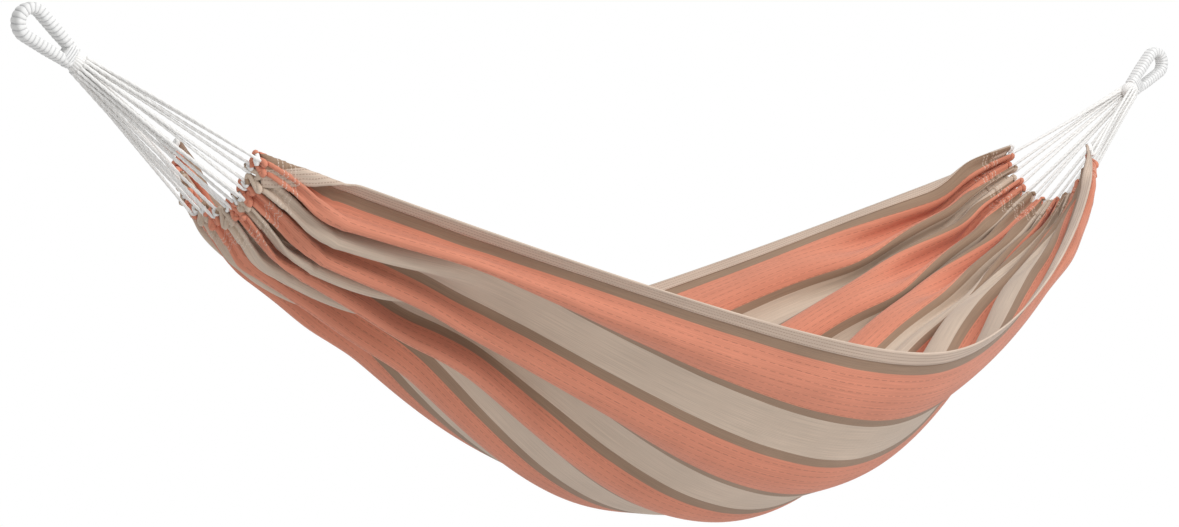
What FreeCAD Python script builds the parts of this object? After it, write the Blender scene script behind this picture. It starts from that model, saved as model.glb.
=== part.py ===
"""A cloth hammock of the kind with no spreader bars: a striped bed gathered at both ends
and hung by fans of white string from two whipped rope eyes.

Millimetres. The origin is on the axis of the pin or hook that the left eye hangs on,
+X runs to the right eye and +Z is up. The bed hangs below the X axis, mirrored about
the vertical planes through the middle of its length and of its width.
"""

import FreeCAD, Part

from math import acos, atan2, ceil, cos, degrees, pi, radians, sin, sqrt, tan
import os

from FreeCAD import Vector

# ---- driving dimensions ----
eye_span = 2760.0            # from the left eye's pin axis to the right eye's
bed_chord = 2072.0           # straight distance between the two gathered ends
hem_end_drop = 195.0         # side hem below the pins where it reaches a gathered end
hem_middle_drop = 541.0      # side hem below the pins in the middle of the bed
bed_depth = 327.0            # bottom of the bed below the side hems, in the middle
half_opening = 628.0         # half the distance between the side hems, in the middle
gather_half_width = 115.0    # half the width of the gathered ends
gather_depth = 94.0          # depth of the U that each gathered end makes

cloth_thickness = 1.6
hem_thickness = 3.2          # turned-in cloth of the side hems
hem_width = 30.0
end_hem_length = 42.0        # cloth turned back over the header cord at each end
end_hem_thickness = 4.0
seam_gap = 0.3               # between an end hem and what is sewn to it
side_seam_gap = 0.6          # between the bed and its side hems, in the middle of the bed
string_room = 3.3            # left open in the cloth on each side of a string

header_cord_diameter = 8.0
header_bend_radius = 25.0
header_overhang = 9.0        # header cord past the outermost strings
tunnel_clearance = 0.5       # radial, round the header cord
tunnel_wall = 2.0

strings_per_end = 12         # each one runs from the eye round the header cord and back
string_diameter = 4.4
string_clearance = 0.3       # between a string and the header cord it goes round
string_spacing = 0.5         # between neighbouring strings where they leave the bunch
ring_spacing = 1.1           # between the two rings of strings there

pin_radius = 14.0            # inside radius of an eye's crown
whipping_thickness = 3.0
core_thickness = 13.0        # of the rope under the whipping, across the eye's plane line
core_width = 21.0            # of the same rope, along the pin
core_corner = 5.0
core_clearance = 0.1
leg_length = 92.0            # from the pin axis to where the eye's legs end
leg_gap = 0.6                # between the two whipped legs at the neck
binding_length = 20.0
binding_thickness = 3.5
bunch_margin = 1.0           # of the bunch of string under an eye, past the outer ring
bunch_cap = 10.0             # from the middle of the bunch to its flat top
swing_gap = 0.3              # between the bunch and the strings that swing round it
ring_half_angle = 130.0      # strings leave the bunch in two rings that are open at the top
ring_start = 6.0             # plane of the rings beyond the middle of the bunch
string_run_in = 8.0          # cut off a string where it would enter the bunch

opening_power = 1.30         # how fast the opening widens from an end to the middle
opening_fullness = 0.91
hem_sag_power = 1.32
bottom_sag_power = 1.43
section_power = 2.44         # 2 is nearly a parabola, more is a flatter bottom
middle_smoothing = 0.15      # rounds the powers off in the middle, as a share of the half length
rows_along = 33
rows_across = 17

# ---- worked out ----
middle_x = eye_span / 2
end_x = bed_chord / 2                                     # from the middle to a gathered end
tunnel_radius = header_cord_diameter / 2 + tunnel_clearance + tunnel_wall
knot_radius = tunnel_radius
notch_radius = string_diameter / 2 + string_room          # of the scallop behind each string
ring_step = radians(2 * ring_half_angle / (strings_per_end - 1))
inner_ring_radius = (string_diameter + string_spacing) / (2 * sin(ring_step / 2))
outer_ring_radius = inner_ring_radius + string_diameter + ring_spacing
bunch_radius = outer_ring_radius + bunch_margin
header_x = end_x + tunnel_radius + seam_gap               # from the middle to a header cord
whipped_thickness = core_thickness + 2 * whipping_thickness
whipped_width = core_width + 2 * whipping_thickness
whipped_corner = core_corner + whipping_thickness
crown_radius = pin_radius + whipped_thickness / 2         # to the middle of the rope
neck_half_gap = (whipped_thickness + leg_gap) / 2
gather_middle_drop = hem_end_drop + gather_depth / 2
clew_run = (eye_span / 2) - header_x
clew_length = sqrt(clew_run ** 2 + gather_middle_drop ** 2)
clew_down = atan2(gather_middle_drop, clew_run)           # slope of a clew below the X axis
bunch_distance = leg_length + bunch_cap                   # pin axis to the middle of the bunch

shown = {}


def keep(name, shape):
    """Writes one node, after checking that every solid in it is whole."""
    solids = shape.Solids
    for solid in solids:
        if not solid.isValid() or solid.Volume <= 0:
            print("not a sound solid:", name)
    shape = solids[0] if len(solids) == 1 else Part.makeCompound(solids)
    shape.exportStep(os.path.join("parts", name + ".step"))
    shown[name] = sum(solid.Volume for solid in solids)


# ---- the bed's surface ----

def rounded_power(t, power):
    """|t| to a power, 0 in the middle and 1 at an end, without a crease in the middle."""
    low = middle_smoothing ** power
    high = (1 + middle_smoothing ** 2) ** (power / 2)
    return ((t * t + middle_smoothing ** 2) ** (power / 2) - low) / (high - low)


def bed_point(t, s):
    """A point of the cloth: t is -1 at the left end and 1 at the right, s is -1 at the back hem
    and 1 at the front hem. Each cross section is a power curve between the two hems."""
    widening = max(0.0, 1 - rounded_power(t, opening_power)) ** opening_fullness
    half_width = gather_half_width + (half_opening - gather_half_width) * widening
    hem_z = -hem_end_drop - (hem_middle_drop - hem_end_drop) * (1 - rounded_power(t, hem_sag_power))
    end_z = -hem_end_drop - gather_depth
    middle_z = -hem_middle_drop - bed_depth
    bottom_z = end_z + (middle_z - end_z) * (1 - rounded_power(t, bottom_sag_power))
    across = sin(pi / 2 * s)
    z = bottom_z + (hem_z - bottom_z) * abs(across) ** section_power
    return Vector(middle_x + end_x * t, -half_width * across, z)


def through_cloth(t, s):
    """The step through one millimetre of cloth, towards the inside of the bed. It stays in the
    cross section, so that each end of a piece is flat."""
    step = 1e-3
    t0, t1 = max(-1, t - step), min(1, t + step)
    s0, s1 = max(-1, s - step), min(1, s + step)
    along = bed_point(t1, s).sub(bed_point(t0, s))
    across = bed_point(t, s1).sub(bed_point(t, s0))
    normal = across.cross(along)
    normal.normalize()
    level = Vector(0, normal.y, normal.z)
    return level.multiply(1 / level.dot(level))


def cloth(t_range, s_range, thickness, n_along, n_across):
    """A closed sheet of even thickness over a stretch of the bed's surface."""
    faces, grids = [], []
    for side in (-0.5, 0.5):
        grid = []
        for i in range(n_along):
            t = t_range[0] + (t_range[1] - t_range[0]) * i / (n_along - 1)
            row = []
            for j in range(n_across):
                s = s_range[0] + (s_range[1] - s_range[0]) * j / (n_across - 1)
                row.append(bed_point(t, s).add(through_cloth(t, s).multiply(side * thickness)))
            grid.append(row)
        surface = Part.BSplineSurface()
        surface.interpolate(grid)
        grids.append(surface)
        faces.append(surface.toShape())
    low, high = grids
    u0, u1, v0, v1 = low.bounds()
    edges = [
        (low.uIso(u0), high.uIso(u0)), (low.uIso(u1), high.uIso(u1)),
        (low.vIso(v0), high.vIso(v0)), (low.vIso(v1), high.vIso(v1)),
    ]
    for a, b in edges:
        faces.append(Part.makeRuledSurface(a.toShape(), b.toShape()))
    shell = Part.makeShell(faces)
    shell.sewShape()
    solid = Part.makeSolid(Part.Shell(shell.Faces))
    if solid.Volume < 0:
        solid.reverse()
    return solid


def share_of_section(t, length):
    """The step in s, from a hem inwards, that covers this length of cloth at t."""
    s, covered, step = 1.0, 0.0, 0.002
    while covered < length:
        covered += bed_point(t, s).sub(bed_point(t, s - step)).Length
        s -= step
    return 1 - s


# ---- paths ----

def rounded_path(points, radius):
    """Straight runs through the points, joined by tangent arcs of this radius."""
    edges, start = [], points[0]
    for before, corner, after in zip(points, points[1:], points[2:]):
        back = before.sub(corner).normalize()
        onward = after.sub(corner).normalize()
        half = acos(max(-1, min(1, back.dot(onward)))) / 2
        reach = radius / tan(half)
        middle = back.add(onward).normalize().multiply(radius / sin(half) - radius)
        a, b = corner.add(Vector(back).multiply(reach)), corner.add(Vector(onward).multiply(reach))
        edges.append(Part.LineSegment(start, a).toShape())
        edges.append(Part.Arc(a, corner.add(middle), b).toShape())
        start = b
    edges.append(Part.LineSegment(start, points[-1]).toShape())
    return Part.Wire(edges)


def tube(path, start, direction, diameter):
    """A round cord along a path."""
    circle = Part.Wire(Part.makeCircle(diameter / 2, start, direction))
    return path.makePipeShell([circle], True, True)


# ---- one end of the hammock; side is -1 on the left and 1 on the right ----

def clew_frame(side):
    """The pin's centre, the direction from it down the clew, and the upward normal of the clew."""
    pin = Vector(middle_x + side * middle_x, 0, 0)
    down = Vector(-side * cos(clew_down), 0, -sin(clew_down))
    up = Vector(-side * sin(clew_down), 0, cos(clew_down))
    return pin, down, up


def rounded_bar(thickness, width, corner, length):
    """A bar along X with rounded long edges, thick in Z and wide in Y, centred on the X axis."""
    bar = Part.makeBox(length, width, thickness, Vector(0, -width / 2, -thickness / 2))
    long_edges = [e for e in bar.Edges if abs(e.Vertexes[0].X - e.Vertexes[1].X) > length / 2]
    return bar.makeFillet(corner, long_edges)


def teardrop(thickness, width, corner):
    """Rope bent round a pin: a crown and two legs that close in on the neck. It lies in the XZ
    plane with the pin's axis along Y at the origin and the neck towards +X."""
    closing = atan2(crown_radius - neck_half_gap, leg_length)
    for _ in range(20):     # the legs leave the crown square to its radius
        closing = atan2(crown_radius * cos(closing) - neck_half_gap,
                        leg_length - crown_radius * sin(closing))
    leg = rounded_bar(thickness, width, corner, 1.0)
    section = [f for f in leg.Faces if abs(f.CenterOfMass.x) < 1e-6][0]
    section.translate(Vector(0, 0, crown_radius))
    crown = section.revolve(Vector(0, 0, 0), Vector(0, 1, 0), -(180 + 2 * degrees(closing)))
    crown.rotate(Vector(0, 0, 0), Vector(0, 1, 0), degrees(closing))
    run = (leg_length - crown_radius * sin(closing)) / cos(closing)
    legs = []
    for sign in (1, -1):
        bar = rounded_bar(thickness, width, corner, run)
        bar.translate(Vector(0, 0, sign * crown_radius))
        bar.rotate(Vector(0, 0, 0), Vector(0, 1, 0), sign * degrees(closing))
        legs.append(bar)
    return crown.fuse(legs).removeSplitter()


def place_on_clew(shape, side):
    """Turns a piece made along +X to lie down the clew from the pin's centre."""
    pin, down, _ = clew_frame(side)
    turn = degrees(clew_down) if side < 0 else 180 - degrees(clew_down)
    shape.rotate(Vector(0, 0, 0), Vector(0, 1, 0), turn)
    shape.translate(pin)
    return shape


def eye_pieces(side):
    """The rope core, its whipping, the neck binding and the bunch of string below it."""
    core = teardrop(core_thickness, core_width, core_corner)
    hollow = teardrop(core_thickness + 2 * core_clearance, core_width + 2 * core_clearance,
                      core_corner + core_clearance)
    whipping = teardrop(whipped_thickness, whipped_width, whipped_corner).cut(hollow)
    trim = Part.makeBox(4 * leg_length, 4 * leg_length, 4 * leg_length,
                        Vector(leg_length, -2 * leg_length, -2 * leg_length))
    core, whipping = core.cut(trim), whipping.cut(trim)
    both = rounded_bar(2 * (whipped_thickness + binding_thickness) + leg_gap,
                       whipped_width + 2 * binding_thickness,
                       whipped_corner + binding_thickness, binding_length)
    both.translate(Vector(leg_length - binding_length, 0, 0))
    legs = teardrop(whipped_thickness + 2 * core_clearance, whipped_width + 2 * core_clearance,
                    whipped_corner + core_clearance)
    binding = both.cut(legs)
    bunch = Part.makeSphere(bunch_radius, Vector(bunch_distance, 0, 0))
    above = Part.makeBox(bunch_radius * 2, bunch_radius * 4, bunch_radius * 4,
                         Vector(leg_length - 2 * bunch_radius, -2 * bunch_radius, -2 * bunch_radius))
    bunch = bunch.cut(above)
    return {
        "eye_core": core,
        "eye_whipping": whipping,
        "neck_binding": Part.makeCompound([max(binding.Solids, key=lambda s: s.Volume)]),
        "neck_bunch": bunch,
    }


def header_points(side):
    """Where the strings hang on the header cord, evenly spaced from the back hem to the front hem."""
    fine = [bed_point(side, -1 + 2 * i / 400.0) for i in range(401)]
    for p in fine:
        p.x = middle_x + side * header_x
    lengths = [0.0]
    for a, b in zip(fine, fine[1:]):
        lengths.append(lengths[-1] + b.sub(a).Length)
    found, i = [], 0
    for k in range(strings_per_end):
        target = lengths[-1] * (k + 0.35) / (strings_per_end - 0.3)
        while lengths[i + 1] < target:
            i += 1
        part = (target - lengths[i]) / (lengths[i + 1] - lengths[i])
        found.append(fine[i].add(fine[i + 1].sub(fine[i]).multiply(part)))
    return found


def header_cord(side):
    points = header_points(side)
    first = points[0].add(points[0].sub(points[1]).normalize().multiply(header_overhang))
    last = points[-1].add(points[-1].sub(points[-2]).normalize().multiply(header_overhang))
    path = rounded_path([first] + points[1:-1] + [last], header_bend_radius)
    cord = tube(path, first, points[1].sub(first), header_cord_diameter)
    knots = [Part.makeSphere(knot_radius, p) for p in (first, last)]
    return cord.fuse(knots)


def cord_tunnels(side):
    """The cloth sleeves round the header cord, one between each two strings."""
    points = header_points(side)
    sleeves = []
    for a, b in zip(points, points[1:]):
        along = b.sub(a)
        length = along.Length - 2 * notch_radius
        start = a.add(Vector(along).normalize().multiply(notch_radius))
        outer = Part.makeCylinder(tunnel_radius, length, start, along)
        bore = Part.makeCylinder(header_cord_diameter / 2 + tunnel_clearance, length, start, along)
        sleeves.append(outer.cut(bore))
    return Part.makeCompound(sleeves)


def bent_corner(points, k):
    """The middle of the header cord at string k, which lies inside the corner of its path."""
    if k in (0, len(points) - 1):
        return points[k]
    back = points[k - 1].sub(points[k]).normalize()
    onward = points[k + 1].sub(points[k]).normalize()
    half = acos(max(-1, min(1, back.dot(onward)))) / 2
    shift = header_bend_radius / sin(half) - header_bend_radius
    return points[k].add(back.add(onward).normalize().multiply(shift))


def hairpin(side, k):
    """String k as two starts at the bunch, the header cord's middle, and the unit directions away
    from the bunch and out through the cloth, with the radius that it turns at."""
    pin, down, up = clew_frame(side)
    start_plane = pin.add(Vector(down).multiply(bunch_distance + ring_start))
    points = header_points(side)
    turn = ring_step * (k - (strings_per_end - 1) / 2)
    spoke = Vector(0, -sin(turn), 0).add(Vector(up).multiply(-cos(turn)))
    outside = start_plane.add(Vector(spoke).multiply(outer_ring_radius))
    inside = start_plane.add(Vector(spoke).multiply(inner_ring_radius))
    hook = bent_corner(points, k)
    along = points[min(k + 1, strings_per_end - 1)].sub(points[max(k - 1, 0)]).normalize()
    away = hook.sub(outside.add(inside).multiply(0.5)).normalize()
    outward = along.cross(away).normalize()
    if outward.dot(spoke) < 0:
        outward = outward.multiply(-1)
    lean = sqrt(1 - along.dot(away) ** 2)     # a string that comes in at a slant turns wider
    bend = ((header_cord_diameter + string_diameter) / 2 + string_clearance) / lean
    return outside, inside, hook, away, outward, bend


def strings(side):
    """One hairpin for each string: from the bunch, round the header cord, and back."""
    pin, down, up = clew_frame(side)
    middle = pin.add(Vector(down).multiply(bunch_distance))
    clear = Part.makeSphere(bunch_radius + swing_gap, middle)
    made = []
    for k in range(strings_per_end):
        outside, inside, hook, away, outward, bend = hairpin(side, k)
        one = hook.add(Vector(outward).multiply(bend))
        two = hook.sub(Vector(outward).multiply(bend))
        far = hook.add(Vector(away).multiply(bend))
        run_out = one.sub(outside).normalize()
        start = outside.sub(Vector(run_out).multiply(string_run_in))
        finish = inside.sub(two.sub(inside).normalize().multiply(string_run_in))
        path = Part.Wire([
            Part.LineSegment(start, one).toShape(),
            Part.Arc(one, far, two).toShape(),
            Part.LineSegment(two, finish).toShape(),
        ])
        made.append(tube(path, start, run_out, string_diameter).cut(clear))
    return made


def string_notches(side):
    """What the end hem leaves open behind each string, so that the string can pass round."""
    cutters = []
    for k in range(strings_per_end):
        _, _, hook, away, outward, bend = hairpin(side, k)
        reach = bend + string_diameter / 2 + string_clearance
        middle = hook.add(Vector(away).multiply(reach - notch_radius))
        base = middle.sub(Vector(outward).multiply(4 * end_hem_thickness))
        cutters.append(Part.makeCylinder(notch_radius, 8 * end_hem_thickness, base, outward))
    return Part.makeCompound(cutters)


# ---- the whole hammock ----

os.makedirs("parts", exist_ok=True)

# The share of the length that an end hem takes: as long as the cloth itself, not the chord.
slope = bed_point(1, 0).sub(bed_point(0.98, 0)).Length / (0.02 * end_x)
end_share = end_hem_length / (end_x * slope)
end_seam = seam_gap / (end_x * slope)
hem_share = share_of_section(0, hem_width)
hem_seam = share_of_section(0, hem_width + side_seam_gap) - hem_share

along = (-1 + end_share + end_seam, 1 - end_share - end_seam)
keep("bed_cloth", cloth(along, (-1 + hem_share + hem_seam, 1 - hem_share - hem_seam),
                        cloth_thickness, rows_along, rows_across))
keep("back_side_hem", cloth(along, (-1, -1 + hem_share), hem_thickness, rows_along, 3))
keep("front_side_hem", cloth(along, (1 - hem_share, 1), hem_thickness, rows_along, 3))

for end_name, side in (("left", -1), ("right", 1)):
    end_range = (-1, -1 + end_share) if side < 0 else (1 - end_share, 1)
    end_hem = cloth(end_range, (-1, 1), end_hem_thickness, 4, rows_across)
    keep(end_name + "_end_hem", end_hem.cut(string_notches(side)))
    keep(end_name + "_header_cord", header_cord(side))
    keep(end_name + "_cord_tunnels", cord_tunnels(side))
    for number, cord in enumerate(strings(side), 1):
        keep("%s_string_%02d" % (end_name, number), cord)
    for piece_name, piece in eye_pieces(side).items():
        keep(end_name + "_" + piece_name, place_on_clew(piece, side))

print("nodes", len(shown), "cloth litres", round(shown["bed_cloth"] / 1e6, 3))
print("clew slope", round(degrees(clew_down), 2), "clew length", round(clew_length, 1))
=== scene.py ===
import math

import bmesh
import bpy
import numpy as np
from mathutils import Matrix, Vector


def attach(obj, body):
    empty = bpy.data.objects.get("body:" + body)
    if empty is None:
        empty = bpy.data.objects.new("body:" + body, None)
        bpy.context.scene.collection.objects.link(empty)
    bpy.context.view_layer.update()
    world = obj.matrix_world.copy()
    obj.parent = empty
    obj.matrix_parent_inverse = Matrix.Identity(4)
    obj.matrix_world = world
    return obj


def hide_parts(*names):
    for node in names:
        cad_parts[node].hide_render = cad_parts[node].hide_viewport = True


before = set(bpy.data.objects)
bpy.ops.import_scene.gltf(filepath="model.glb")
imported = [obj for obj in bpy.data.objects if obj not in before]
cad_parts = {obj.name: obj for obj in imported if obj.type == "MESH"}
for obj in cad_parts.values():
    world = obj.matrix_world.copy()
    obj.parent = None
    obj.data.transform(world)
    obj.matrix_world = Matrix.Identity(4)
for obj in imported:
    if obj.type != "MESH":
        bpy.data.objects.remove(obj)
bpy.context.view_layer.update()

scene = bpy.context.scene
print("stage: frame loaded,", len(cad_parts), "nodes")


def smooth(low, high, x):
    # eased step, 0 below low and 1 above high
    t = np.clip((x - low) / (high - low), 0.0, 1.0)
    return t * t * (3.0 - 2.0 * t)


def unit(v):
    return v / np.maximum(np.linalg.norm(v, axis=-1, keepdims=True), 1e-12)


def linearColour(hexText):
    # sRGB hex to linear red, green, blue and alpha
    values = [int(hexText[i:i + 2], 16) / 255.0 for i in (1, 3, 5)]
    return [v / 12.92 if v <= 0.04045 else ((v + 0.055) / 1.055) ** 2.4 for v in values] + [1.0]


def addNode(tree, kind, *inputs, named=(), **settings):
    # a node with its settings, and its inputs in order or by name: each is a value, a socket, or a
    # node whose first output is meant, and None leaves an input as it is
    node = tree.nodes.new("ShaderNode" + kind)
    for name, value in settings.items():
        setattr(node, name, value)
    given = list(zip(node.inputs, inputs)) + [(node.inputs[n], v) for n, v in dict(named).items()]
    for socket, value in given:
        if isinstance(value, bpy.types.Node):
            value = value.outputs[0]
        if isinstance(value, bpy.types.NodeSocket):
            tree.links.new(value, socket)
        elif value is not None:
            socket.default_value = value
    return node


def startMaterial(name):
    material = bpy.data.materials.new(name)
    material.use_nodes = True
    material.node_tree.nodes.clear()
    return material, material.node_tree


def makePiece(name, vertices, faces, uv=None, material=None, body="bed"):
    # a smooth mesh at the origin from arrays of vertices and quads, with one UV pair for each vertex
    mesh = bpy.data.meshes.new(name)
    mesh.from_pydata(vertices.tolist(), [], faces.tolist())
    if uv is not None:
        layer = mesh.uv_layers.new(name="cloth")
        corners = np.empty(len(mesh.loops), dtype=np.int32)
        mesh.loops.foreach_get("vertex_index", corners)
        layer.data.foreach_set("uv", uv[corners].astype(np.float32).ravel())
    mesh.shade_smooth()
    mesh.update()
    piece = bpy.data.objects.new(name, mesh)
    scene.collection.objects.link(piece)
    mesh.materials.append(material)
    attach(piece, body)
    return piece


def gridFaces(rows, columns, closeColumns=False):
    # quads between the vertices of a grid of rows x columns, the last column joined to the first if asked
    r = np.arange(rows - 1)[:, None] * columns
    c = np.arange(columns if closeColumns else columns - 1)[None, :]
    c2 = (c + 1) % columns
    return np.stack([r + c, r + c2, r + columns + c2, r + columns + c], -1).reshape(-1, 4)


def sweep(path, radii, turns, sideways=(0.0, 1.0, 0.0)):
    # a closed skin along a path: at each point a ring of the given radii (one row for each point, one
    # column for each angle in turns) in the plane square to the path. Both ends shrink to their middles
    along = unit(np.gradient(path, axis=0))
    across = unit(np.cross(along, sideways))
    beside = np.cross(across, along)
    spokes = np.cos(turns)[..., None] * beside[:, None, :] + np.sin(turns)[..., None] * across[:, None, :]
    skin = path[:, None, :] + radii[..., None] * spokes
    ends = np.repeat(path[[0, -1]][:, None], skin.shape[1], 1)
    skin = np.concatenate([ends[:1], skin, ends[1:]])
    return skin, gridFaces(len(skin), skin.shape[1], closeColumns=True)


def joinGrids(grids):
    # several (vertices, faces) made one
    vertices, faces, start = [], [], 0
    for skin, quads in grids:
        flat = skin.reshape(-1, 3)
        vertices.append(flat)
        faces.append(quads + start)
        start += len(flat)
    return np.concatenate(vertices), np.concatenate(faces)


def weldPiece(piece):
    # welds the shrunken ends of swept skins, and turns the faces outwards
    work = bmesh.new()
    work.from_mesh(piece.data)
    bmesh.ops.remove_doubles(work, verts=work.verts, dist=1e-6)
    bmesh.ops.recalc_face_normals(work, faces=work.faces)
    work.to_mesh(piece.data)
    work.free()
    piece.data.shade_smooth()


camera = {
    "aim": (1.157, 0.0, -0.3943), "distance": 5.83, "lens": 99.50,
    "turn": 41.723, "tilt": 1.308, "roll": -0.25, "sensor": 36.0,
}


def makeCamera():
    # looks along the turn from +Y, tilted down, at the aim point
    turn, tilt, roll = (math.radians(camera[k]) for k in ("turn", "tilt", "roll"))
    ahead = Vector((math.sin(turn) * math.cos(tilt), math.cos(turn) * math.cos(tilt), -math.sin(tilt)))
    right = Vector((math.cos(turn), -math.sin(turn), 0.0))
    up = right.cross(ahead)
    level, upright = right, up
    right = level * math.cos(roll) + upright * math.sin(roll)
    up = upright * math.cos(roll) - level * math.sin(roll)
    lens = bpy.data.cameras.new("camera")
    lens.lens, lens.sensor_width, lens.clip_end = camera["lens"], camera["sensor"], 100.0
    eye = bpy.data.objects.new("camera", lens)
    place = Matrix((right, up, -ahead)).transposed().to_4x4()
    place.translation = Vector(camera["aim"]) - ahead * camera["distance"]
    eye.matrix_world = place
    scene.collection.objects.link(eye)
    scene.camera = eye


makeCamera()
print("stage: camera")


# in metres: the CAD bed's sizes, then the flat cloth's, and the thicknesses that are shown
bed = {
    "eyeSpan": 2.760, "endX": 1.036, "hemEndDrop": 0.195, "hemMiddleDrop": 0.541, "depth": 0.327,
    "halfOpening": 0.628, "gatherHalfWidth": 0.115, "gatherDepth": 0.094,
    "openingPower": 1.30, "openingFullness": 0.91, "hemPower": 1.32, "bottomPower": 1.43,
    "sectionPower": 2.44, "middleSmoothing": 0.15,
    "clothWidth": 1.512, "strings": 12, "sideHem": 0.030, "endHem": 0.042,
    "firstString": 0.35,             # gaps from a side of the cloth to the nearest string
    "thick": 0.0011, "sideHemThick": 0.0030, "endHemThick": 0.0034, "underHem": 0.002,
}
pleats = {
    "stripeRepeat": 0.2584,          # the broad folds bring the coral stripes out and take the sand ones in
    "lobesFrom": (0.50, 0.93),       # share of the half length where the folds split into one lobe a gap
    "steepest": 2.05,                # most that the cloth turns in a fold, in radians
    "tighter": ((0.26, 0.55), (0.52, -0.45), (-0.26, 0.3)),       # folds of the left half, more or less
    "scallop": 0.010, "scallopReach": 0.06,
    "droop": 0.30,                   # how far the lobes at the ends hang down for each unit outwards
    "pulledFlat": 0.85, "flatFrom": (0.15, 0.85),      # most of the fullness left out, and where it fades
    "samples": 1513, "evenOver": 259,                # across the cloth, and in one repeat of the stripes
    "uneven": ((0.12, 7.3, 1.1, 2.0), (0.10, 16.7, 0.4, -1.7)),   # size, pace, start and shift to the left
    "tighterReach": 0.09, "frontTighter": 0.22,
    "wide": (0.18, 0.41, 0.8),                       # size, length and start of one more slow fold
    "hemCalm": 0.75, "hemHold": 0.10, "notchWide": 0.006,
    "ruffles": 1.0,                  # three small waves in each lobe at the gathered edge
    "lift": 0.030,                   # of the bottom between the middle and the ends
    "notch": 0.006,                  # opening in the end hem behind a string
}
frontRoll = {                        # at the left end the front hem is folded over outwards, less
    "width": 0.058, "bend": 0.030, "turn": 2.85, "until": -0.865,     # and less away from the end
}
middleX = bed["eyeSpan"] / 2
halfCloth = bed["clothWidth"] / 2
gap = bed["clothWidth"] / (bed["strings"] - 1 + 2 * bed["firstString"])      # of cloth between two strings
stringAt = (np.arange(bed["strings"]) + bed["firstString"]) * gap - halfCloth


def roundedPower(t, power):
    # |t| to a power, without a crease in the middle
    m = bed["middleSmoothing"]
    low, high = m ** power, (1 + m * m) ** (power / 2)
    return ((t * t + m * m) ** (power / 2) - low) / (high - low)


def bedSection(t, s):
    # half width times the sine of s across, and a power curve of it from the bottom up to the hems
    opening = np.maximum(0.0, 1 - roundedPower(t, bed["openingPower"])) ** bed["openingFullness"]
    half = bed["gatherHalfWidth"] + (bed["halfOpening"] - bed["gatherHalfWidth"]) * opening
    hemFall = bed["hemMiddleDrop"] - bed["hemEndDrop"]
    hem = -bed["hemEndDrop"] - hemFall * (1 - roundedPower(t, bed["hemPower"]))
    endZ, middleZ = -bed["hemEndDrop"] - bed["gatherDepth"], -bed["hemMiddleDrop"] - bed["depth"]
    bottom = endZ + (middleZ - endZ) * (1 - roundedPower(t, bed["bottomPower"]))
    across = np.sin(np.pi / 2 * s)
    return -half * across, bottom + (hem - bottom) * np.abs(across) ** bed["sectionPower"]


def evenSections(t, samples=601):
    # each cross section as points evenly spaced along its length, its tangents, and its length
    y, z = bedSection(t[:, None], np.linspace(-1, 1, samples)[None, :])
    run = np.concatenate([np.zeros((len(t), 1)), np.cumsum(np.hypot(np.diff(y), np.diff(z)), 1)], 1)
    even = np.linspace(0, 1, samples)
    y = np.stack([np.interp(even * r[-1], r, row) for r, row in zip(run, y)])
    z = np.stack([np.interp(even * r[-1], r, row) for r, row in zip(run, z)])
    tangent = unit(np.stack([np.gradient(y, axis=1), np.gradient(z, axis=1)], -1))
    return y, z, tangent, run[:, -1]


def sample(rows, share):
    # each row read at the shares of its length in the same row of share
    place = np.clip(share, 0, 1) * (rows.shape[1] - 1)
    low = np.minimum(place.astype(int), rows.shape[1] - 2)
    part = place - low
    a, b = np.take_along_axis(rows, low, 1), np.take_along_axis(rows, low + 1, 1)
    return a + (b - a) * part


def movingMean(rows, count):
    # mean over count columns, with the end values carried on
    half = count // 2
    padded = np.concatenate([np.repeat(rows[:, :1], half + 1, 1), rows, np.repeat(rows[:, -1:], half, 1)], 1)
    total = np.cumsum(padded, 1)
    return (total[:, 2 * half + 1:] - total[:, :rows.shape[1]]) / (2 * half + 1)


def foldHeading(t, w):
    # how far the cloth turns off its cross section: at the ends one wave for each gap between
    # strings, and towards the middle one for each repeat of the stripes, uneven across the cloth
    near = smooth(*pleats["lobesFrom"], np.abs(t))
    toLeft = smooth(-0.3, 0.3, -t)
    uneven = 1
    for size, pace, start, shift in pleats["uneven"]:
        uneven = uneven + size * np.sin(pace * w + start + shift * toLeft)
    for middle, more in pleats["tighter"]:
        uneven = uneven + more * toLeft * np.exp(-((w - middle) / pleats["tighterReach"]) ** 2)
    uneven = uneven * (1 + pleats["frontTighter"] * toLeft * np.tanh(w / 0.1))
    atEnd = smooth(0.86, 1.0, np.abs(t))
    ruffles = np.sin(6 * np.pi * w / gap + 0.8 * np.sin(9 * w))
    lobes = -np.sin(2 * np.pi * w / gap) + pleats["ruffles"] * atEnd * ruffles
    backWay = np.where(w < 0, 1 - 2 * toLeft, 1.0)            # coral outwards on the back's left half too
    size, length, start = pleats["wide"]
    broad = backWay * np.sin(2 * np.pi * np.abs(w) / pleats["stripeRepeat"])
    broad = broad + size * np.sin(2 * np.pi * w / length + start + toLeft)
    nearHem = smooth(halfCloth - 0.09, halfCloth - 0.03, np.abs(w))
    atHem = 1 - pleats["hemCalm"] * (1 - atEnd) * nearHem
    return (near * lobes * (0.6 + 0.4 * uneven) + (1 - near) * (broad + 0.25 * lobes) * uneven) * atHem


def frontHemTurn(t, w):
    # where the cloth inside the turned-over hem stops, which samples lie inside, how far each sample
    # has turned, as an eased step over the bend, and how the folds calm down beside it
    taper = np.clip((frontRoll["until"] - t) / (1 + frontRoll["until"]), 0, 1)
    halfBend = frontRoll["bend"] / 2
    width = frontRoll["width"] * taper - halfBend * (1 - taper)
    turnAt = halfCloth - width                                # where the hem turns over
    edge = np.minimum(turnAt, halfCloth)
    roll = frontRoll["turn"] * smooth(turnAt - halfBend, turnAt + halfBend, w)
    calmer = 1 - smooth(0.0, 0.3, taper) * smooth(edge - 0.03, edge, w)
    return edge, w < edge + 1e-6, roll, calmer


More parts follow.
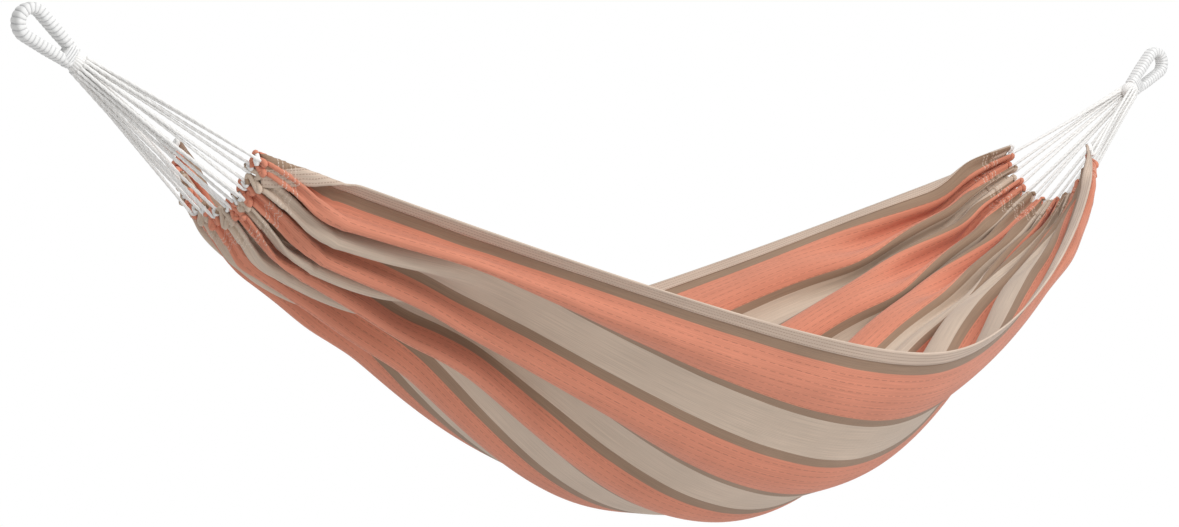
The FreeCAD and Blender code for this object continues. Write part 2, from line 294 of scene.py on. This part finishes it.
def fittedFold(wave, inside, step, length):
    # the wave made stronger, but never past the steepest fold, until the cosines of the fold add up
    # to the section's length. The strength is found by halving
    limit = pleats["steepest"]
    low, high = np.zeros((len(wave), 1)), np.full((len(wave), 1), 12.0)
    for _ in range(30):
        middle = (low + high) / 2
        across = (np.cos(limit * np.tanh(middle * wave / limit)) * inside).sum(1, keepdims=True) * step
        tooLong = across > length
        low, high = np.where(tooLong, middle, low), np.where(tooLong, high, middle)
    return limit * np.tanh((low + high) / 2 * wave / limit)


def clothPoints(t, w):
    # cloth at the shares t along and flat distances w across, each an array. What a cross section
    # lacks in length is taken up by folds, which are the running sums of the sine and cosine of the
    # fold heading, apart from the part of the fullness that is left out towards the middle
    count, over = pleats["samples"], pleats["evenOver"]
    flat = np.linspace(-halfCloth, halfCloth, count)
    spacing = flat[1] - flat[0]
    y, z, tangent, length = evenSections(t)
    length = length[:, None]
    tt, ww = t[:, None], flat[None, :]
    away = np.abs(tt)
    fullness = 1 - length / bed["clothWidth"]
    step = spacing * (1 - pleats["pulledFlat"] * fullness * (1 - smooth(*pleats["flatFrom"], away)))

    edge, inside, roll, calmer = frontHemTurn(tt, ww)
    fold = fittedFold(foldHeading(tt, ww) * calmer, inside, step, length)

    # the section's length goes to the cloth as evenly as its folds leave it
    taken = np.cumsum(movingMean(np.cos(fold) * inside, over) * inside, 1)
    share = (taken - taken[:, :1]) / (taken[:, -1:] - taken[:, :1])
    along = np.cumsum(np.cos(fold + roll), 1) * step - share * length
    calm = np.cumsum(np.sin(fold) * inside, 1) * step
    trend = movingMean(calm, over)
    swing = np.sqrt(2) * np.sqrt(movingMean((calm - trend) ** 2, over))
    lie = calm - trend + swing * (-1.0 + 2.0 * smooth(0.55, 1.0, away))
    # both hems stay on the section's ends
    column = np.clip(np.round((edge + halfCloth) / spacing).astype(int), 0, count - 1)
    atEdge = np.take_along_axis(lie, column, 1)
    lie = lie - lie[:, :1] * np.exp(-(ww + halfCloth) / pleats["hemHold"]) \
        - atEdge * np.exp(-np.maximum(edge - ww, 0) / pleats["hemHold"])
    outward = lie + np.cumsum(np.sin(fold + roll) - np.sin(fold) * inside, 1) * step
    droop = pleats["droop"] * smooth(0.84, 1.0, away) * lie

    # the edge is drawn back between the strings, and notched behind each one
    inGaps = (ww + halfCloth) / gap - bed["firstString"]
    fromString = np.abs(inGaps - np.round(inGaps)) * gap
    fromEnd = bed["endX"] * (1 - away) * 1.2
    lobe = 0.5 - 0.5 * np.cos(2 * np.pi * fromString / gap)
    lag = pleats["scallop"] * lobe * np.exp(-fromEnd / pleats["scallopReach"])
    lag = lag + pleats["notch"] * np.exp(-(fromString / pleats["notchWide"]) ** 2) * np.exp(-fromEnd / 0.008)
    px = middleX + bed["endX"] * tt - np.sign(tt) * lag
    tangentY, tangentZ = sample(tangent[..., 0], share), sample(tangent[..., 1], share)
    py = sample(y, share) + tangentY * along - tangentZ * outward
    pz = sample(z, share) + tangentZ * along + tangentY * outward - droop * np.abs(tangentZ)
    raised = smooth(0.12, 0.60, away) * (1 - smooth(0.70, 1.0, away))
    pz = pz + pleats["lift"] * raised * np.sin(np.pi * share)

    place = np.broadcast_to((w + halfCloth) / bed["clothWidth"], (len(t), len(w)))
    return np.stack([sample(np.broadcast_to(p, (len(t), count)), place) for p in (px, py, pz)], -1)


def alongShares(count):
    # shares along the bed, closer together towards the gathered ends
    even = np.linspace(-1, 1, count)
    return even * (1 + 0.35 * (1 - even ** 2))


def flatLength(t):
    # distance along the cloth from its left edge, measured along the bottom of the bed
    fine = np.linspace(-1, 1, 2001)
    _, bottom = bedSection(fine, np.zeros_like(fine))
    run = np.concatenate([[0], np.cumsum(np.hypot(np.diff(fine) * bed["endX"], np.diff(bottom)))])
    return np.interp(t, fine, run)


clothLength = float(flatLength(1.0))
lastPart = 0.04                      # of the half length, over which the cloth is as good as straight
endShare = bed["endHem"] / (clothLength - float(flatLength(1 - lastPart))) * lastPart


def clothPatch(name, t, w, thickness, material):
    # a closed sheet over a stretch of the cloth: two faces half the thickness either side of the
    # surface, and a wall round the edge
    points = clothPoints(t, w)
    normal = unit(np.cross(np.gradient(points, axis=1), np.gradient(points, axis=0)))
    rows, columns = len(t), len(w)
    uv = np.stack(np.broadcast_arrays(w[None, :], flatLength(t)[:, None]), -1).reshape(-1, 2)
    above, below = points + normal * thickness / 2, points - normal * thickness / 2
    vertices = np.concatenate([above.reshape(-1, 3), below.reshape(-1, 3)])
    top = gridFaces(rows, columns)
    index = np.arange(rows * columns).reshape(rows, columns)
    rim = np.concatenate([index[0, :-1], index[:-1, -1], index[-1, :0:-1], index[:0:-1, 0]])
    nextRim = np.roll(rim, -1)
    wall = np.stack([nextRim, rim, rim + rows * columns, nextRim + rows * columns], -1)
    faces = np.concatenate([top, top[:, ::-1] + rows * columns, wall])
    a, b, c = (points.reshape(-1, 3)[top[0, k]] for k in (0, 1, 2))
    if np.dot(np.cross(b - a, c - a), normal[0, 0]) < 0:      # faces look away from the sheet's middle
        faces = faces[:, ::-1]
    return makePiece(name, vertices, faces, np.concatenate([uv, uv]), material)


stripes = {   # widths in millimetres from the middle of the cloth outwards, with the dye of each
    "order": [("sand", 50), ("taupe", 23), ("coral", 112), ("taupe", 23), ("sand", 100), ("taupe", 23),
              ("coral", 112), ("taupe", 23), ("sand", 100), ("taupe", 23), ("coral", 112), ("taupe", 25),
              ("hem", 40)],
    "coral": "#D68B71", "sand": "#CBB8A6", "taupe": "#9A806B", "hem": "#C9B5A4", "thread": "#E6D6C8",
    "hemThread": "#8E6C5E", "stitchMm": 5.0,
    "yarnMm": 1.6, "pinMm": 16.0, "dashMm": 17.0,
    "endSeamsMm": (28, 35, 48, 55), "hemSeamsMm": (5, 12, 19, 26),
}


def stitchLines(tree, place, along, marksMm):
    # lines at the given marks of one distance, broken into stitches along the other
    stitches = addNode(tree, "Math", along, 1000.0 / stripes["stitchMm"], operation="MULTIPLY")
    part = addNode(tree, "Math", stitches, operation="FRACT")
    stitch = addNode(tree, "Math", part, 0.72, operation="LESS_THAN")
    lines = None
    for mark in marksMm:
        line = addNode(tree, "Math", place, mark / 1000.0, 0.0008, operation="COMPARE")
        lines = line if lines is None else addNode(tree, "Math", lines, line, operation="ADD")
    return addNode(tree, "Math", lines, stitch, operation="MULTIPLY")


def stripedCanvas(name):
    # yarn-dyed plain-weave canvas: matt, dry, slightly streaky along the warp, with faint pin lines
    material, tree = startMaterial(name)
    uvMap = addNode(tree, "UVMap", uv_map="cloth")
    parts = addNode(tree, "SeparateXYZ", uvMap)
    across, lengthwise = parts.outputs[0], parts.outputs[1]

    # the stripe edges wander by a millimetre or two, as the warp shifts in the weave
    wander = addNode(tree, "TexNoise", uvMap, None, 9.0, 1.0, noise_dimensions="2D")
    centred = addNode(tree, "Math", wander, 0.5, operation="SUBTRACT")
    shift = addNode(tree, "Math", centred, 0.003, operation="MULTIPLY")
    shifted = addNode(tree, "Math", across, shift, operation="ADD")
    fromMiddle = addNode(tree, "Math", shifted, operation="ABSOLUTE")
    allStripes = sum(width for _, width in stripes["order"]) / 1000.0
    ramp = addNode(tree, "ValToRGB", addNode(tree, "Math", fromMiddle, allStripes, operation="DIVIDE"))
    ramp.color_ramp.interpolation = "CONSTANT"
    stops = ramp.color_ramp.elements
    stops.remove(stops[-1])
    at = 0.0
    for number, (dye, width) in enumerate(stripes["order"]):
        stop = stops[0] if number == 0 else stops.new(at / allStripes)
        stop.position, stop.color = at / allStripes, linearColour(stripes[dye])
        at += width / 1000.0

    # warp streaks are noise stretched along the cloth, and the dye is a little patchy
    stretched = addNode(tree, "Mapping", uvMap, named={"Scale": (520.0, 9.0, 1.0)})
    streak = addNode(tree, "TexNoise", stretched, None, 1.0, 3.0, noise_dimensions="2D")
    patch = addNode(tree, "TexNoise", uvMap, None, 7.0, 4.0, noise_dimensions="2D")
    streakLevel = addNode(tree, "MapRange", streak, 0.3, 0.7, 0.90, 1.08)
    patchLevel = addNode(tree, "MapRange", patch, 0.3, 0.7, 0.95, 1.04)
    level = addNode(tree, "Math", streakLevel, patchLevel, operation="MULTIPLY")

    # pin lines: a darker yarn every 16 mm that floats over and under in dashes, in the coral only
    dyes = addNode(tree, "SeparateColor", ramp)
    redder = addNode(tree, "Math", dyes.outputs[0], dyes.outputs[1], operation="SUBTRACT")
    inCoral = addNode(tree, "Math", redder, 0.25, operation="GREATER_THAN")
    pinPlace = addNode(tree, "Math", shifted, 1000.0 / stripes["pinMm"], operation="MULTIPLY")
    part = addNode(tree, "Math", pinPlace, operation="FRACT")
    pin = addNode(tree, "Math", part, 0.10, operation="LESS_THAN")
    row = addNode(tree, "Math", pinPlace, operation="FLOOR")
    rowShift = addNode(tree, "Math", row, 0.37, operation="MULTIPLY")
    perDash = 1000.0 / stripes["dashMm"]
    dashPlace = addNode(tree, "Math", lengthwise, perDash, rowShift, operation="MULTIPLY_ADD")
    part = addNode(tree, "Math", dashPlace, operation="FRACT")
    dash = addNode(tree, "Math", part, 0.62, operation="LESS_THAN")
    dashed = addNode(tree, "Math", pin, dash, operation="MULTIPLY")
    pinLine = addNode(tree, "Math", dashed, inCoral, operation="MULTIPLY")
    pinLevel = addNode(tree, "MapRange", pinLine, 0.0, 1.0, 1.0, 0.74)
    level = addNode(tree, "Math", level, pinLevel, operation="MULTIPLY")
    dyed = addNode(tree, "HueSaturation", named={"Color": ramp.outputs[0], "Value": level.outputs[0]})

    # stitch lines: two pairs across each end, and four along each side hem, in dashes
    beyondMiddle = addNode(tree, "Math", lengthwise, clothLength / 2, operation="SUBTRACT")
    fromCentre = addNode(tree, "Math", beyondMiddle, operation="ABSOLUTE")
    fromEnd = addNode(tree, "Math", clothLength / 2, fromCentre, operation="SUBTRACT")
    sidewards = addNode(tree, "Math", across, operation="ABSOLUTE")
    fromSide = addNode(tree, "Math", halfCloth, sidewards, operation="SUBTRACT")
    endSeam = stitchLines(tree, fromEnd, across, stripes["endSeamsMm"])
    sideSeam = stitchLines(tree, fromSide, lengthwise, stripes["hemSeamsMm"])
    colour = dyed.outputs[0]
    for seam, amount, thread in ((endSeam, 0.7, "thread"), (sideSeam, 0.55, "hemThread")):
        shown = addNode(tree, "Math", seam, amount, operation="MULTIPLY")
        threads = {6: colour, 7: linearColour(stripes[thread])}
        colour = addNode(tree, "Mix", shown, named=threads, data_type="RGBA").outputs[2]

    # plain weave, drawn coarser than real yarn so that it shows
    perYarn = 1000.0 * math.pi / stripes["yarnMm"]
    weft, warp = (
        addNode(tree, "Math", addNode(tree, "Math", place, perYarn, operation="MULTIPLY"), operation="SINE")
        for place in (lengthwise, across)
    )
    weave = addNode(tree, "Math", warp, weft, operation="MULTIPLY")
    stitched = addNode(tree, "Math", endSeam, sideSeam, operation="ADD")
    relief = addNode(tree, "Math", weave, 0.5, streak, operation="MULTIPLY_ADD")
    height = addNode(tree, "Math", relief, stitched, operation="SUBTRACT")
    bump = addNode(tree, "Bump", named={"Height": height.outputs[0], "Strength": 0.4, "Distance": 0.0006})
    shader = addNode(tree, "BsdfPrincipled", named={
        "Base Color": colour, "Roughness": 0.88, "Normal": bump.outputs[0],
        "Sheen Weight": 0.15, "Sheen Roughness": 0.5, "Specular IOR Level": 0.25,
    })
    addNode(tree, "OutputMaterial", shader)
    return material


def whiteCord(name, shade, paintedGrooveShade, fibreMm):
    # twisted or wound white polyester: soft satin filaments, with painted shade that greys the colour where
    # they lie deep in a groove
    material, tree = startMaterial(name)
    place = addNode(tree, "TexCoord").outputs["Object"]
    fibres = addNode(tree, "TexNoise", place, None, 1000.0 / fibreMm, 2.0)
    blotch = addNode(tree, "TexNoise", place, None, 40.0, 3.0)
    # painted shade: the second colour is mixed in by how deep each vertex lies in a groove
    deep = addNode(tree, "Attribute", attribute_name="depth")
    ownAndShadeColours = {6: linearColour(shade), 7: linearColour(paintedGrooveShade)}
    withPaintedShade = addNode(tree, "Mix", deep.outputs["Fac"], named=ownAndShadeColours, data_type="RGBA")
    level = addNode(tree, "MapRange", blotch, 0.3, 0.7, 0.96, 1.02)
    blotchyWithPaintedShade = addNode(tree, "HueSaturation", named={"Color": withPaintedShade.outputs[2], "Value": level.outputs[0]})
    bump = addNode(tree, "Bump", named={"Height": fibres.outputs[0], "Strength": 0.25, "Distance": 0.0004})
    shader = addNode(tree, "BsdfPrincipled", named={
        "Base Color": blotchyWithPaintedShade.outputs[0], "Roughness": 0.6, "Normal": bump.outputs[0],
        "Sheen Weight": 0.15, "Specular IOR Level": 0.35,
    })
    addNode(tree, "OutputMaterial", shader)
    return material


canvas = stripedCanvas("yarn_dyed_canvas")
# the second colour of each cord is painted shade for its grooves between plies, ribs and strings
stringWhite = whiteCord("twisted_polyester_string", "#EFEEEC", "#E0DEDB", 1.2)
whippingWhite = whiteCord("wound_whipping_cord", "#EAEAE9", "#9FA0A2", 1.5)
coreWhite = whiteCord("braided_rope_core", "#D9D7D2", "#B9B7B2", 2.0)
print("stage: materials")


def setDepth(piece, depth):
    # how deep in a groove each vertex lies, from 0 on a ridge to 1, which the cord materials use to paint
    # shade into the grooves
    layer = piece.data.attributes.new("depth", "FLOAT", "POINT")
    layer.data.foreach_set("value", depth.astype(np.float32).ravel())


betweenHems = np.linspace(
    -halfCloth + bed["sideHem"] - bed["underHem"], halfCloth - bed["sideHem"] + bed["underHem"], 261)
cloth = clothPatch("striped_bed_cloth", alongShares(221), betweenHems, bed["thick"], canvas)
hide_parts("bed_cloth")
hems = []
for name, node, low, high in (
    ("front_side_hem_fold", "front_side_hem", halfCloth - bed["sideHem"], halfCloth),
    ("back_side_hem_fold", "back_side_hem", -halfCloth, -halfCloth + bed["sideHem"]),
):
    hem = clothPatch(name, alongShares(221), np.linspace(low, high, 8), bed["sideHemThick"], canvas)
    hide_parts(node)
    hems.append(hem)

header = {
    "cordRadius": 0.0034, "sleeveRadius": 0.0046, "sleeveRoom": 0.0003, "offset": 0.0058, "mouth": 0.0075,
    "reach": 0.985, "knotSwell": 0.85,
}


def headerPath(side, w):
    # the end edge of the cloth at the flat distances w, moved outwards along the bed
    edge = clothPoints(np.array([float(side)]), w)[0]
    fromString = np.abs(w[:, None] - stringAt[None, :]).min(1)
    notch = pleats["notch"] * np.exp(-(fromString / pleats["notchWide"]) ** 2)
    edge[:, 0] += side * (header["offset"] + notch)
    return edge


def endSleeves(side, name):
    # round sleeves that the end hem makes about the header cord, one between each two strings. Each
    # is a tube along the edge that closes down to just over the cord at its two mouths
    turns = np.linspace(0, 2 * np.pi, 14, endpoint=False)
    mouthRadius = np.full(1, header["cordRadius"] + header["sleeveRoom"])
    lengthways = np.array([1.0, 0.0, 0.0])
    edgePlace = 0.0 if side < 0 else clothLength
    grids, uvs = [], []
    for a, b in zip(stringAt, stringAt[1:]):
        w = np.linspace(a + header["mouth"], b - header["mouth"], 46)
        path = headerPath(side, w)
        fromMouth = np.minimum(w - w[0], w[-1] - w)
        outer = header["sleeveRadius"] * (0.86 + 0.14 * smooth(0, 0.012, fromMouth))
        radii = np.concatenate([mouthRadius, outer, mouthRadius])
        along = unit(np.gradient(path, axis=0))
        path, along = (np.concatenate([rows[:1], rows, rows[-1:]]) for rows in (path, along))
        across = unit(np.cross(along, lengthways))
        spokes = np.cos(turns)[None, :, None] * lengthways + np.sin(turns)[None, :, None] * across[:, None]
        skin = path[:, None] + radii[:, None, None] * spokes
        grids.append((skin, gridFaces(len(skin), len(turns), closeColumns=True)))
        wide = np.repeat(np.concatenate([w[:1], w, w[-1:]]), len(turns))
        uvs.append(np.stack([wide, np.full(len(wide), edgePlace)], -1))
    vertices, faces = joinGrids(grids)
    return makePiece(name, vertices, faces if side > 0 else faces[:, ::-1], np.concatenate(uvs), canvas)


def headerCord(side, name):
    # cord along the gathered edge, through all the sleeves. Its radius swells to a knot near each end
    count, sides = 900, 10
    reach = halfCloth * header["reach"]
    turnedOver = (frontRoll["width"] if side < 0 else 0) * 0.4
    path = headerPath(side, np.linspace(-reach, reach - turnedOver, count))
    turns = np.linspace(0, 2 * np.pi, sides, endpoint=False)
    fromEnd = np.minimum(np.arange(count), count - 1 - np.arange(count)) / float(count)
    swell = 1 + header["knotSwell"] * np.exp(-((fromEnd - 0.006) / 0.004) ** 2)
    radii = header["cordRadius"] * swell[:, None] * np.ones(sides)[None, :]
    skin, faces = sweep(path, radii, turns, (1.0, 0.0, 0.0))
    piece = makePiece(name, skin.reshape(-1, 3), faces, None, stringWhite)
    weldPiece(piece)
    return piece


for name, side in (("left", -1), ("right", 1)):
    t = np.linspace(1 - endShare, 1.0, 14) * side
    across = np.linspace(-halfCloth, halfCloth, 421)
    endHem = clothPatch(name + "_end_hem_fold", np.sort(t), across, bed["endHemThick"], canvas)
    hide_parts(name + "_end_hem")
    sleeves = endSleeves(side, name + "_sleeves")
    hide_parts(name + "_cord_tunnels")
    hems += [endHem, sleeves]
    cord = headerCord(side, name + "_gathering_cord")
    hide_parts(name + "_header_cord")
print("stage: cloth")

eye = {
    "pinRadius": 0.014, "thickness": 0.019, "width": 0.027, "legLength": 0.092, "neckHalfGap": 0.0098,
    "bunchDistance": 0.102, "bunchRadius": 0.0185, "ribPitch": 0.0080, "ribDepth": 0.0015,
    "neckThickness": 0.0162, "neckWidth": 0.0242, "bindingLength": 0.020, "bindingTurn": 0.0048,
}
strand = {
    "radius": 0.0028, "twist": 0.015, "lobe": 0.20, "innerRing": 0.0120, "outerRing": 0.0175,
    "ringStart": 0.006, "halfAngle": 130.0, "startDeep": 0.0035, "rowStep": 0.0021,
}
clewDown = math.atan2(bed["hemEndDrop"] + bed["gatherDepth"] / 2, bed["eyeSpan"] / 2 - bed["endX"] - 0.0068)


def clewFrame(side):
    # the pin's centre, the direction down the clew, and the clew's upward normal
    pin = np.array([middleX + side * middleX, 0.0, 0.0])
    down = np.array([-side * math.cos(clewDown), 0.0, -math.sin(clewDown)])
    up = np.array([-side * math.sin(clewDown), 0.0, math.cos(clewDown)])
    return pin, down, up


def ringShape(turns, halfThick, halfWide, power=3.2):
    # radius of a rounded rectangle at each angle, as a superellipse
    c, s = np.abs(np.cos(turns)), np.abs(np.sin(turns))
    return ((c / halfWide) ** power + (s / halfThick) ** power) ** (-1 / power)


def eyeWhipping(side, name):
    # a flat band round a teardrop path: two straight legs and an arc round the pin. Its skin swells
    # and pinches along a helix, one rib a turn, and it narrows towards the neck
    pin, down, up = clewFrame(side)
    crown = eye["pinRadius"] + eye["thickness"] / 2
    closing = math.atan2(crown - eye["neckHalfGap"], eye["legLength"])
    for _ in range(20):
        inwards = crown * math.cos(closing) - eye["neckHalfGap"]
        closing = math.atan2(inwards, eye["legLength"] - crown * math.sin(closing))
    leg = (eye["legLength"] - crown * math.sin(closing)) / math.cos(closing)
    arc = crown * (math.pi + 2 * closing)
    total = 2 * leg + arc
    run = np.linspace(0, total, 900)
    turn = np.clip((run - leg) / crown, 0, math.pi + 2 * closing)      # round the crown
    angle = math.pi / 2 - closing + turn                               # of the radius from the clew's line
    along = crown * np.cos(angle)
    above = crown * np.sin(angle)
    before, after = np.maximum(leg - run, 0), np.maximum(run - leg - arc, 0)
    along = along + (before + after) * math.cos(closing)
    above = above - before * math.sin(closing) + after * math.sin(closing)
    path = pin + along[:, None] * down + above[:, None] * up
    turns = np.linspace(0, 2 * np.pi, 40, endpoint=False)
    toNeck = smooth(0.05, 0.0, np.minimum(run, total - run))
    halfThick = (eye["thickness"] + (eye["neckThickness"] - eye["thickness"]) * toNeck)[:, None] / 2
    halfWide = (eye["width"] + (eye["neckWidth"] - eye["width"]) * toNeck)[:, None] / 2
    rib = np.abs(np.sin(np.pi * (run[:, None] / eye["ribPitch"] + turns[None, :] / (2 * np.pi)))) ** 0.45
    radii = ringShape(turns[None, :], halfThick, halfWide) - eye["ribDepth"] * (1 - rib)
    skin, faces = sweep(path, radii, turns[None, :])
    piece = makePiece(name, skin.reshape(-1, 3), faces, None, whippingWhite, "hanging_eyes")
    setDepth(piece, np.concatenate([1 - rib[:1], 1 - rib, 1 - rib[-1:]]) ** 1.5)
    weldPiece(piece)
    return piece


def neckBinding(side, name):
    # turns of cord wound round both legs: a rounded box whose skin swells once a turn
    pin, down, up = clewFrame(side)
    run = np.linspace(eye["legLength"] - eye["bindingLength"], eye["legLength"], 90)
    path = pin + run[:, None] * down
    turns = np.linspace(0, 2 * np.pi, 56, endpoint=False)
    rib = np.abs(np.sin(np.pi * (run[:, None] / eye["bindingTurn"] + turns[None, :] / (2 * np.pi)))) ** 0.7
    thicker = smooth(run[0] - 0.002, run[0] + 0.006, run)
    taper = (thicker - 1.6 * smooth(run[-1] - 0.006, run[-1], run))[:, None]
    halfThick = eye["neckHalfGap"] + eye["neckThickness"] / 2 + 0.0012 + 0.0014 * taper
    halfWide = eye["neckWidth"] / 2 + 0.0010 + 0.0014 * taper
    radii = ringShape(turns[None, :], halfThick, halfWide, 2.6) - 0.0012 * (1 - rib)
    skin, faces = sweep(path, radii, turns[None, :])
    piece = makePiece(name, skin.reshape(-1, 3), faces, None, whippingWhite, "hanging_eyes")
    setDepth(piece, np.concatenate([1 - rib[:1], 1 - rib, 1 - rib[-1:]]) ** 1.5)
    weldPiece(piece)
    return piece


def neckBunch(side, name):
    # the gathered strings under the binding: a ball with a groove between each two strings
    pin, down, up = clewFrame(side)
    run = np.linspace(-1, 1, 60)
    path = pin + (eye["bunchDistance"] + eye["bunchRadius"] * 0.99 * np.sin(run * np.pi / 2))[:, None] * down
    turns = np.linspace(0, 2 * np.pi, 132, endpoint=False)
    groove = np.abs(np.sin(11 * turns + 0.6 * run[:, None])) ** 0.6
    roundness = np.cos(run * np.pi / 2)[:, None]
    radii = eye["bunchRadius"] * 0.97 * roundness - 0.0012 * (1 - groove) * roundness
    skin, faces = sweep(path, np.maximum(radii, 1e-5), turns[None, :])
    piece = makePiece(name, skin.reshape(-1, 3), faces, None, stringWhite, "hanging_eyes")
    setDepth(piece, np.concatenate([1 - groove[:1], 1 - groove, 1 - groove[-1:]]) ** 1.5)
    weldPiece(piece)
    return piece


def stringHairpin(side, number, name):
    # a two-ply string from the bunch, round the header cord, and back: straight runs and a half
    # circle, with a skin of two lobes that turns along the string
    pin, down, up = clewFrame(side)
    step = math.radians(2 * strand["halfAngle"] / (bed["strings"] - 1))
    turn = step * (number - (bed["strings"] - 1) / 2)
    spoke = np.array([0.0, -math.sin(turn), 0.0]) - up * math.cos(turn)
    plane = pin + down * (eye["bunchDistance"] + strand["ringStart"])
    outside, inside = plane + spoke * strand["outerRing"], plane + spoke * strand["innerRing"]
    near = headerPath(side, stringAt[number] + np.array([-0.002, 0.0, 0.002]))
    hook = near[1]
    away = unit(hook - (outside + inside) / 2)
    around = unit(near[2] - near[0])
    outward = unit(np.cross(around, away))
    outward = outward if np.dot(outward, spoke) > 0 else -outward
    bend = header["cordRadius"] + strand["radius"] + 0.0002
    one, two = hook + outward * bend, hook - outward * bend
    outStart = outside - unit(one - outside) * strand["startDeep"]
    inStart = inside - unit(two - inside) * strand["startDeep"]
    rows = int(np.linalg.norm(one - outside) / strand["rowStep"])
    legOut = outStart + (one - outStart) * np.linspace(0, 1, rows)[:, None]
    legIn = two + (inStart - two) * np.linspace(0, 1, rows)[:, None]
    sweepTurn = np.linspace(0, np.pi, 12)[1:-1, None]
    bow = hook + bend * (np.cos(sweepTurn) * outward + np.sin(sweepTurn) * away)
    sag = 0.004 * math.sin(2.3 * number + side) * np.sin(np.linspace(0, np.pi, rows))[:, None]
    legOut = legOut + sag * around
    legIn = legIn + sag * 0.6 * around + 0.002 * np.sin(np.linspace(0, np.pi, rows))[:, None] * outward
    path = np.concatenate([legOut, bow, legIn])
    length = np.concatenate([[0], np.cumsum(np.linalg.norm(np.diff(path, axis=0), axis=1))])
    turns = np.linspace(0, 2 * np.pi, 10, endpoint=False)
    lobes = np.abs(np.cos(turns[None, :] - np.pi * length[:, None] / strand["twist"]))
    fuller = 1 + 0.22 * (2 * length / length[-1] - 1)[:, None] ** 4        # slacker plies near the bunch
    radii = strand["radius"] * fuller * (1 - strand["lobe"] + strand["lobe"] * lobes)
    skin, faces = sweep(path, radii, turns[None, :], unit(np.cross(away, outward)))
    piece = makePiece(name, skin.reshape(-1, 3), faces, None, stringWhite)
    setDepth(piece, np.concatenate([1 - lobes[:1], 1 - lobes, 1 - lobes[-1:]]) ** 2)
    weldPiece(piece)
    return piece, float(length[-1])


for name, side in (("left", -1), ("right", 1)):
    for maker, new, node, slot in (
        (eyeWhipping, "_wound_eye", "_eye_whipping", "whipping"),
        (neckBinding, "_wound_neck", "_neck_binding", "whipping"),
        (neckBunch, "_string_bunch", "_neck_bunch", "whipping"),
    ):
        piece = maker(side, name + new)
        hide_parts(name + node)
    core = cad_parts[name + "_eye_core"]
    core.data.materials.clear()
    core.data.materials.append(coreWhite)
    lengths = []
    for number in range(bed["strings"]):
        piece, length = stringHairpin(side, number, "%s_twisted_string_%02d" % (name, number + 1))
        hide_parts("%s_string_%02d" % (name, number + 1))
        lengths.append(length)
    print("stage: %s strings, %.3f to %.3f m each" % (name, min(lengths), max(lengths)))


studio = {"floorDrop": 1.55, "floorRadius": 4.6, "ambient": 0.54, "keyPower": 118.0, "fillPower": 34.0}


def makeStage():
    # a round pale floor under the hammock, white all round, and two broad soft lamps, the weaker one higher
    corners, radius = 96, studio["floorRadius"]
    turn = np.linspace(0, 2 * np.pi, corners, endpoint=False)
    level = np.full(corners, -studio["floorDrop"])
    ring = np.stack([middleX + radius * np.cos(turn), radius * np.sin(turn), level], -1)
    mesh = bpy.data.meshes.new("floor")
    mesh.from_pydata(ring.tolist(), [], [list(range(corners))])
    floor = bpy.data.objects.new("floor", mesh)
    scene.collection.objects.link(floor)
    pale, tree = startMaterial("pale_floor")
    shader = addNode(tree, "BsdfPrincipled", named={"Base Color": linearColour("#F0F0F0"), "Roughness": 0.9})
    addNode(tree, "OutputMaterial", shader)
    mesh.materials.append(pale)

    world = bpy.data.worlds.new("studio")
    scene.world = world
    world.use_nodes = True
    tree = world.node_tree
    tree.nodes.clear()
    path = addNode(tree, "LightPath")
    seen = path.outputs["Is Camera Ray"]
    for ray in ("Is Glossy Ray", "Is Transmission Ray"):
        seen = addNode(tree, "Math", seen, path.outputs[ray], operation="MAXIMUM")
    strength = addNode(tree, "MapRange", seen, 0.0, 1.0, studio["ambient"], 1.0)
    addNode(tree, "OutputWorld", addNode(tree, "Background", (1.0, 1.0, 1.0, 1.0), strength))

    for name, spot, size, power in (
        ("key", (0.9, -3.8, 2.0), 2.6, studio["keyPower"]),
        ("fill", (1.9, -0.9, 3.0), 2.2, studio["fillPower"]),
    ):
        lamp = bpy.data.lights.new(name, "AREA")
        lamp.shape, lamp.size, lamp.energy = "DISK", size, power
        holder = bpy.data.objects.new(name, lamp)
        holder.location = spot
        towards = Vector((middleX, 0.0, -0.6)) - Vector(spot)
        holder.rotation_euler = towards.to_track_quat("-Z", "Y").to_euler()
        scene.collection.objects.link(holder)


makeStage()
scene.view_settings.view_transform = "Standard"
print("stage: light")
